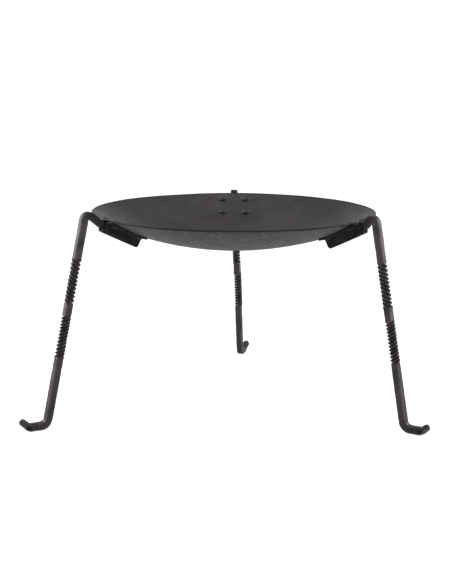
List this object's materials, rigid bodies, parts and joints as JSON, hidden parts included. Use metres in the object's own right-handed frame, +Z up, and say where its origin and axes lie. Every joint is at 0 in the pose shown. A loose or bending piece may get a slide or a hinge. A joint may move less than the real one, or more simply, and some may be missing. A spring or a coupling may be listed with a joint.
{
  "type": "campfire tripod fire pan",
  "caption": "Shallow dished steel fire bowl on plug-in forged legs with twisted shanks and turned-up feet, held in riveted sockets under the rim.",
  "frame": {"origin": "on the ground, under the middle of the bounding box; the feet stand on z = 0", "axes": "+Z up, +Y towards the rear leg, +X to the right leg's side"},
  "size_m": [0.686, 0.6398, 0.363],
  "materials": {
    "bowl_steel": "hammered, oil-blackened, satin",
    "socket_steel": "black forge scale, dull",
    "rivet_steel": "hammered, oil-blackened, satin",
    "leg_steel": "forged, oil-blackened, satin"
  },
  "bodies": {
    "pan": {"fire_bowl": "bowl_steel", "leg_socket_rear": "socket_steel", "leg_socket_left": "socket_steel", "leg_socket_right": "socket_steel", "rivet_rear_1": "rivet_steel", "rivet_rear_2": "rivet_steel", "rivet_rear_3": "rivet_steel", "rivet_rear_4": "rivet_steel", "rivet_left_1": "rivet_steel", "rivet_left_2": "rivet_steel", "rivet_left_3": "rivet_steel", "rivet_left_4": "rivet_steel", "rivet_right_1": "rivet_steel", "rivet_right_2": "rivet_steel", "rivet_right_3": "rivet_steel", "rivet_right_4": "rivet_steel"},
    "rear_leg": {"leg_rear": "leg_steel"},
    "left_leg": {"leg_left": "leg_steel"},
    "right_leg": {"leg_right": "leg_steel"}
  },
  "joints": [
    {"name": "rear_leg_slide", "type": "slide", "parent": "pan", "child": "rear_leg", "axis": [0.0048, 0.908, 0.419], "range_m": [0, 0.064]},
    {"name": "left_leg_slide", "type": "slide", "parent": "pan", "child": "left_leg", "axis": [-0.789, -0.4373, 0.4316], "range_m": [0, 0.064]},
    {"name": "right_leg_slide", "type": "slide", "parent": "pan", "child": "right_leg", "axis": [0.7619, -0.4761, 0.4391], "range_m": [0, 0.064]}
  ]
}
